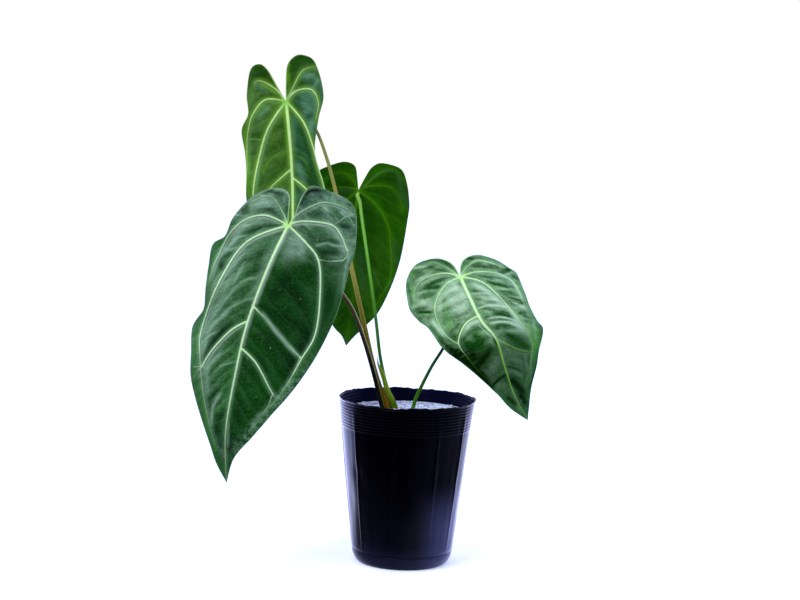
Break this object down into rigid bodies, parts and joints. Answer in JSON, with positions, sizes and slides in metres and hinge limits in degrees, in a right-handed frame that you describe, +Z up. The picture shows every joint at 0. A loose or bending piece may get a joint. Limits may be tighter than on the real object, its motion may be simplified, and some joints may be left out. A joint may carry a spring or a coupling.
{
  "type": "potted anthurium hybrid",
  "caption": "Foliage plant with heart-shaped, pale-veined leaves on long petioles, growing in a tall thin black nursery pot.",
  "frame": {"origin": "centre of the pot's flat underside, where the pot stands", "axes": "+Z up along the pot's axis; -Y towards the front of the plant, where the large dark leaf and the quilted leaf face; +X to the right seen from the front"},
  "size_m": [0.3705, 0.2682, 0.5499],
  "materials": {
    "pot": "thin black polyethylene, glossy",
    "growing_medium": "loose pale mineral granules, matte",
    "crown_and_roots": "living stem and roots, matte",
    "cataphyll": "thin yellow-green sheath",
    "petiole_front": "smooth living stalk, dark brown-green",
    "blade_front": "velvety dark green with pale veins",
    "petiole_top": "smooth living stalk, olive tan",
    "blade_top": "satin mid green with pale veins",
    "petiole_back": "smooth living stalk, bright green",
    "blade_back": "matte bright green underside",
    "petiole_right": "smooth living stalk, green",
    "blade_right": "quilted satin green with pale veins"
  },
  "bodies": {
    "root": {"pot": "pot", "growing_medium": "growing_medium", "crown_and_roots": "crown_and_roots", "cataphyll": "cataphyll", "petiole_front": "petiole_front", "blade_front": "blade_front", "petiole_top": "petiole_top", "blade_top": "blade_top", "petiole_back": "petiole_back", "blade_back": "blade_back", "petiole_right": "petiole_right", "blade_right": "blade_right"}
  },
  "joints": []
}
